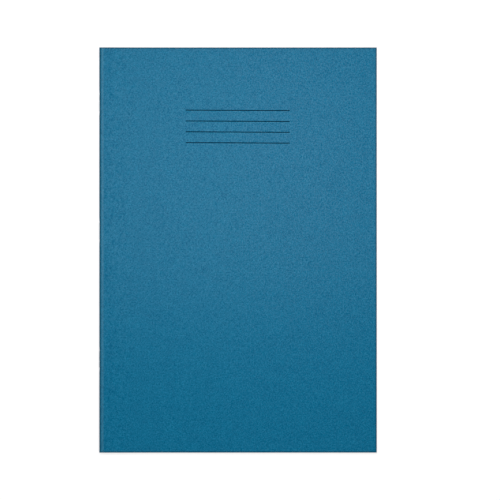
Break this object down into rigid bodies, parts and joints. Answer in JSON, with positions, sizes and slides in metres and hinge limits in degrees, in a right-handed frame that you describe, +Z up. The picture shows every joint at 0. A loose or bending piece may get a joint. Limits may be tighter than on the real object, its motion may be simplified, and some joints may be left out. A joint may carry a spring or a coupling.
{
  "type": "stapled exercise book",
  "caption": "Closed A4 stapled exercise book: a folded blue card cover around nested ruled sheets, whose leaves turn about the stapled spine fold.",
  "frame": {"origin": "middle of the closed book's footprint, on the surface that it lies on", "axes": "+X from the spine to the fore edge, +Y from tail to head, +Z up through the front cover"},
  "size_m": [0.2038, 0.297, 0.0034],
  "materials": {
    "cover_card": "matte",
    "ruled_paper": "matte",
    "staple_wire": "satin"
  },
  "bodies": {
    "back_cover": {"back_cover": "cover_card", "back_cover_fold": "cover_card"},
    "leaf_16": {"leaf_16": "ruled_paper", "leaf_16_fold": "ruled_paper"},
    "leaf_15": {"leaf_15": "ruled_paper", "leaf_15_fold": "ruled_paper"},
    "leaf_14": {"leaf_14": "ruled_paper", "leaf_14_fold": "ruled_paper"},
    "leaf_13": {"leaf_13": "ruled_paper", "leaf_13_fold": "ruled_paper"},
    "leaf_12": {"leaf_12": "ruled_paper", "leaf_12_fold": "ruled_paper"},
    "leaf_11": {"leaf_11": "ruled_paper", "leaf_11_fold": "ruled_paper"},
    "leaf_10": {"leaf_10": "ruled_paper", "leaf_10_fold": "ruled_paper"},
    "leaf_09": {"leaf_09": "ruled_paper", "leaf_09_fold": "ruled_paper", "staple_head": "staple_wire", "staple_middle": "staple_wire", "staple_tail": "staple_wire"},
    "leaf_08": {"leaf_08": "ruled_paper", "leaf_08_fold": "ruled_paper"},
    "leaf_07": {"leaf_07": "ruled_paper", "leaf_07_fold": "ruled_paper"},
    "leaf_06": {"leaf_06": "ruled_paper", "leaf_06_fold": "ruled_paper"},
    "leaf_05": {"leaf_05": "ruled_paper", "leaf_05_fold": "ruled_paper"},
    "leaf_04": {"leaf_04": "ruled_paper", "leaf_04_fold": "ruled_paper"},
    "leaf_03": {"leaf_03": "ruled_paper", "leaf_03_fold": "ruled_paper"},
    "leaf_02": {"leaf_02": "ruled_paper", "leaf_02_fold": "ruled_paper"},
    "leaf_01": {"leaf_01": "ruled_paper", "leaf_01_fold": "ruled_paper"},
    "front_cover": {"front_cover": "cover_card", "front_cover_fold": "cover_card"}
  },
  "joints": [
    {"name": "leaf_16_turns", "type": "hinge", "parent": "back_cover", "child": "leaf_16", "pos_m": [-0.10168, 0, 0.0017], "axis": [0, -1, 0], "range_deg": [0, 180]},
    {"name": "leaf_15_turns", "type": "hinge", "parent": "leaf_16", "child": "leaf_15", "pos_m": [-0.10168, 0, 0.0017], "axis": [0, -1, 0], "range_deg": [0, 180]},
    {"name": "leaf_14_turns", "type": "hinge", "parent": "leaf_15", "child": "leaf_14", "pos_m": [-0.10168, 0, 0.0017], "axis": [0, -1, 0], "range_deg": [0, 180]},
    {"name": "leaf_13_turns", "type": "hinge", "parent": "leaf_14", "child": "leaf_13", "pos_m": [-0.10168, 0, 0.0017], "axis": [0, -1, 0], "range_deg": [0, 180]},
    {"name": "leaf_12_turns", "type": "hinge", "parent": "leaf_13", "child": "leaf_12", "pos_m": [-0.10168, 0, 0.0017], "axis": [0, -1, 0], "range_deg": [0, 180]},
    {"name": "leaf_11_turns", "type": "hinge", "parent": "leaf_12", "child": "leaf_11", "pos_m": [-0.10168, 0, 0.0017], "axis": [0, -1, 0], "range_deg": [0, 180]},
    {"name": "leaf_10_turns", "type": "hinge", "parent": "leaf_11", "child": "leaf_10", "pos_m": [-0.10168, 0, 0.0017], "axis": [0, -1, 0], "range_deg": [0, 180]},
    {"name": "leaf_09_turns", "type": "hinge", "parent": "leaf_10", "child": "leaf_09", "pos_m": [-0.10168, 0, 0.0017], "axis": [0, -1, 0], "range_deg": [0, 180]},
    {"name": "centre_spread_opens", "type": "hinge", "parent": "leaf_09", "child": "leaf_08", "pos_m": [-0.10168, 0, 0.0017], "axis": [0, -1, 0], "range_deg": [0, 180]},
    {"name": "leaf_07_turns", "type": "hinge", "parent": "leaf_08", "child": "leaf_07", "pos_m": [-0.10168, 0, 0.0017], "axis": [0, -1, 0], "range_deg": [0, 180]},
    {"name": "leaf_06_turns", "type": "hinge", "parent": "leaf_07", "child": "leaf_06", "pos_m": [-0.10168, 0, 0.0017], "axis": [0, -1, 0], "range_deg": [0, 180]},
    {"name": "leaf_05_turns", "type": "hinge", "parent": "leaf_06", "child": "leaf_05", "pos_m": [-0.10168, 0, 0.0017], "axis": [0, -1, 0], "range_deg": [0, 180]},
    {"name": "leaf_04_turns", "type": "hinge", "parent": "leaf_05", "child": "leaf_04", "pos_m": [-0.10168, 0, 0.0017], "axis": [0, -1, 0], "range_deg": [0, 180]},
    {"name": "leaf_03_turns", "type": "hinge", "parent": "leaf_04", "child": "leaf_03", "pos_m": [-0.10168, 0, 0.0017], "axis": [0, -1, 0], "range_deg": [0, 180]},
    {"name": "leaf_02_turns", "type": "hinge", "parent": "leaf_03", "child": "leaf_02", "pos_m": [-0.10168, 0, 0.0017], "axis": [0, -1, 0], "range_deg": [0, 180]},
    {"name": "leaf_01_turns", "type": "hinge", "parent": "leaf_02", "child": "leaf_01", "pos_m": [-0.10168, 0, 0.0017], "axis": [0, -1, 0], "range_deg": [0, 180]},
    {"name": "front_cover_opens", "type": "hinge", "parent": "leaf_01", "child": "front_cover", "pos_m": [-0.10168, 0, 0.0017], "axis": [0, -1, 0], "range_deg": [0, 180]}
  ]
}
